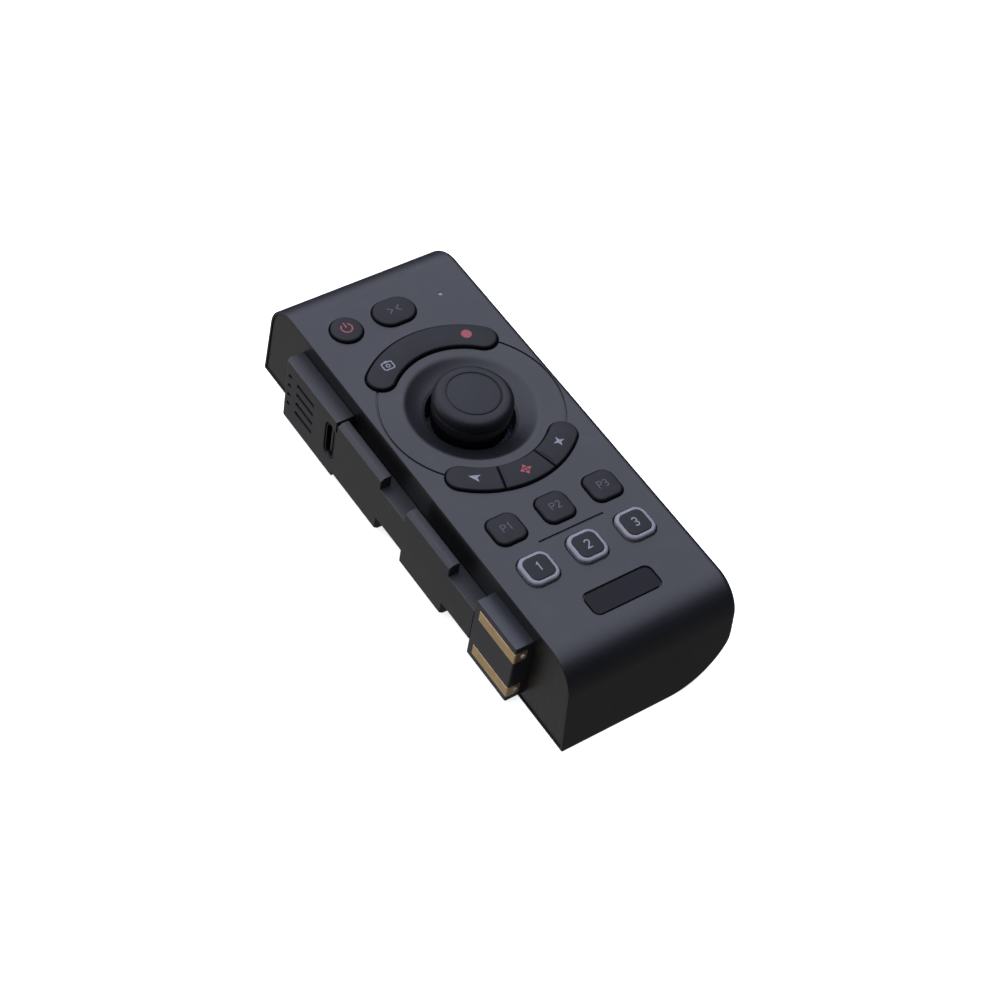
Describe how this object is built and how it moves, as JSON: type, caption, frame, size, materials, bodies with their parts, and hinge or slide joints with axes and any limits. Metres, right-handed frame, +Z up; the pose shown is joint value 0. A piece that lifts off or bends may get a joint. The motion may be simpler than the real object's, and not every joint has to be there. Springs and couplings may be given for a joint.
{
  "type": "radio transmitter controller",
  "caption": "Hand-held transmitter with a thumb joystick in a dish, arc and square keys, a rounded grip side and a castellated docking rail with contacts.",
  "frame": {"origin": "on the flat bottom face, straight below the joystick's pivot", "axes": "+X to the right across the keypad, away from the docking rail; +Y along the body towards the power key; +Z up out of the keypad face"},
  "size_m": [0.0436, 0.1088, 0.0263],
  "materials": {
    "shell": "satin fine-textured moulded plastic, dark slate grey",
    "side_wall": "satin moulded plastic with a fine upright grain, neutral dark grey",
    "cover": "fine-textured moulded plastic, near black",
    "badge": "fine matt moulded plastic, no marking",
    "key": "soft-touch matt key plastic with printed symbols",
    "key_pale": "translucent pale grey key plastic",
    "silicone": "silicone rubber sheet",
    "switch": "stamped steel switch cans",
    "led": "clear moulded light parts",
    "board": "green solder-masked circuit board",
    "screw": "plated steel screws",
    "screw_black": "black-coated steel screws",
    "steel": "bright steel pins, shaft, spring and shields",
    "copper_flex": "copper-coloured flexible circuit",
    "gimbal_case": "glass-filled black plastic",
    "yoke": "natural acetal",
    "dome": "smooth black plastic dome",
    "thumb_cap": "soft black rubber over a moulded cap",
    "sensor": "blue sensor bodies",
    "battery": "foil pouch cell",
    "connector": "ivory connector plastic",
    "rail": "fine-textured moulded plastic, dark grey",
    "contact_plastic": "smooth blue-grey moulded plastic",
    "gold": "gold-plated contact metal",
    "socket": "drawn steel socket shell",
    "speaker": "black sounder body"
  },
  "bodies": {
    "case": {"wrap_shell": "shell", "side_plate": "side_wall", "base_cover": "cover", "base_screws": "screw_black", "badge": "badge", "rocker_pin": "steel", "keymat": "silicone", "tact_switches": "switch", "key_leds": "led", "status_led": "led", "light_pipe": "led", "main_pcb": "board", "pcb_screws": "screw", "radio_shield": "steel", "antenna": "copper_flex", "joystick_housing": "gimbal_case", "centring_spring": "steel", "axis_sensors": "sensor", "battery": "battery", "battery_connector": "connector", "dock_rail": "rail", "contact_block": "contact_plastic", "contact_upper": "gold", "contact_lower": "gold", "contact_studs": "steel", "contact_pins": "gold", "rail_screws": "screw", "usb_socket": "socket", "port_board": "board", "port_flex": "copper_flex", "sounder": "speaker"},
    "power_button": {"power_key": "key"},
    "mode_button": {"mode_key": "key"},
    "arc_button_left": {"arc_key_left": "key"},
    "arc_button_centre": {"arc_key_centre": "key"},
    "arc_button_right": {"arc_key_right": "key"},
    "p_button_1": {"p_key_1": "key"},
    "p_button_2": {"p_key_2": "key"},
    "p_button_3": {"p_key_3": "key"},
    "number_button_1": {"number_key_1": "key_pale", "number_cap_1": "key"},
    "number_button_2": {"number_key_2": "key_pale", "number_cap_2": "key"},
    "number_button_3": {"number_key_3": "key_pale", "number_cap_3": "key"},
    "rocker": {"rocker_key": "key"},
    "yoke": {"gimbal_yoke": "yoke"},
    "stick": {"joystick_shaft": "steel", "joystick_dome": "dome", "joystick_cap": "thumb_cap"}
  },
  "joints": [
    {"name": "power_press", "type": "slide", "parent": "case", "child": "power_button", "axis": [0, 0, -1], "range_m": [0, 0.0007], "stiffness_N_per_m": 600, "springref_m": -0.0003},
    {"name": "mode_press", "type": "slide", "parent": "case", "child": "mode_button", "axis": [0, 0, -1], "range_m": [0, 0.0007], "stiffness_N_per_m": 600, "springref_m": -0.0003},
    {"name": "arc_press_left", "type": "slide", "parent": "case", "child": "arc_button_left", "axis": [0, 0, -1], "range_m": [0, 0.0007], "stiffness_N_per_m": 600, "springref_m": -0.0003},
    {"name": "arc_press_centre", "type": "slide", "parent": "case", "child": "arc_button_centre", "axis": [0, 0, -1], "range_m": [0, 0.0007], "stiffness_N_per_m": 600, "springref_m": -0.0003},
    {"name": "arc_press_right", "type": "slide", "parent": "case", "child": "arc_button_right", "axis": [0, 0, -1], "range_m": [0, 0.0007], "stiffness_N_per_m": 600, "springref_m": -0.0003},
    {"name": "p_press_1", "type": "slide", "parent": "case", "child": "p_button_1", "axis": [0, 0, -1], "range_m": [0, 0.0007], "stiffness_N_per_m": 600, "springref_m": -0.0003},
    {"name": "p_press_2", "type": "slide", "parent": "case", "child": "p_button_2", "axis": [0, 0, -1], "range_m": [0, 0.0007], "stiffness_N_per_m": 600, "springref_m": -0.0003},
    {"name": "p_press_3", "type": "slide", "parent": "case", "child": "p_button_3", "axis": [0, 0, -1], "range_m": [0, 0.0007], "stiffness_N_per_m": 600, "springref_m": -0.0003},
    {"name": "number_press_1", "type": "slide", "parent": "case", "child": "number_button_1", "axis": [0, 0, -1], "range_m": [0, 0.0007], "stiffness_N_per_m": 600, "springref_m": -0.0003},
    {"name": "number_press_2", "type": "slide", "parent": "case", "child": "number_button_2", "axis": [0, 0, -1], "range_m": [0, 0.0007], "stiffness_N_per_m": 600, "springref_m": -0.0003},
    {"name": "number_press_3", "type": "slide", "parent": "case", "child": "number_button_3", "axis": [0, 0, -1], "range_m": [0, 0.0007], "stiffness_N_per_m": 600, "springref_m": -0.0003},
    {"name": "rocker_tilt", "type": "hinge", "parent": "case", "child": "rocker", "pos_m": [0, 0.01865, 0.019], "axis": [0, 1, 0], "range_deg": [-3.2, 3.2], "stiffness_Nm_per_rad": 0.25},
    {"name": "stick_fore_aft", "type": "hinge", "parent": "case", "child": "yoke", "pos_m": [0, 0, 0.0189], "axis": [1, 0, 0], "range_deg": [-14, 14], "stiffness_Nm_per_rad": 0.08},
    {"name": "stick_left_right", "type": "hinge", "parent": "yoke", "child": "stick", "pos_m": [0, 0, 0.0189], "axis": [0, 1, 0], "range_deg": [-14, 14], "stiffness_Nm_per_rad": 0.08}
  ]
}
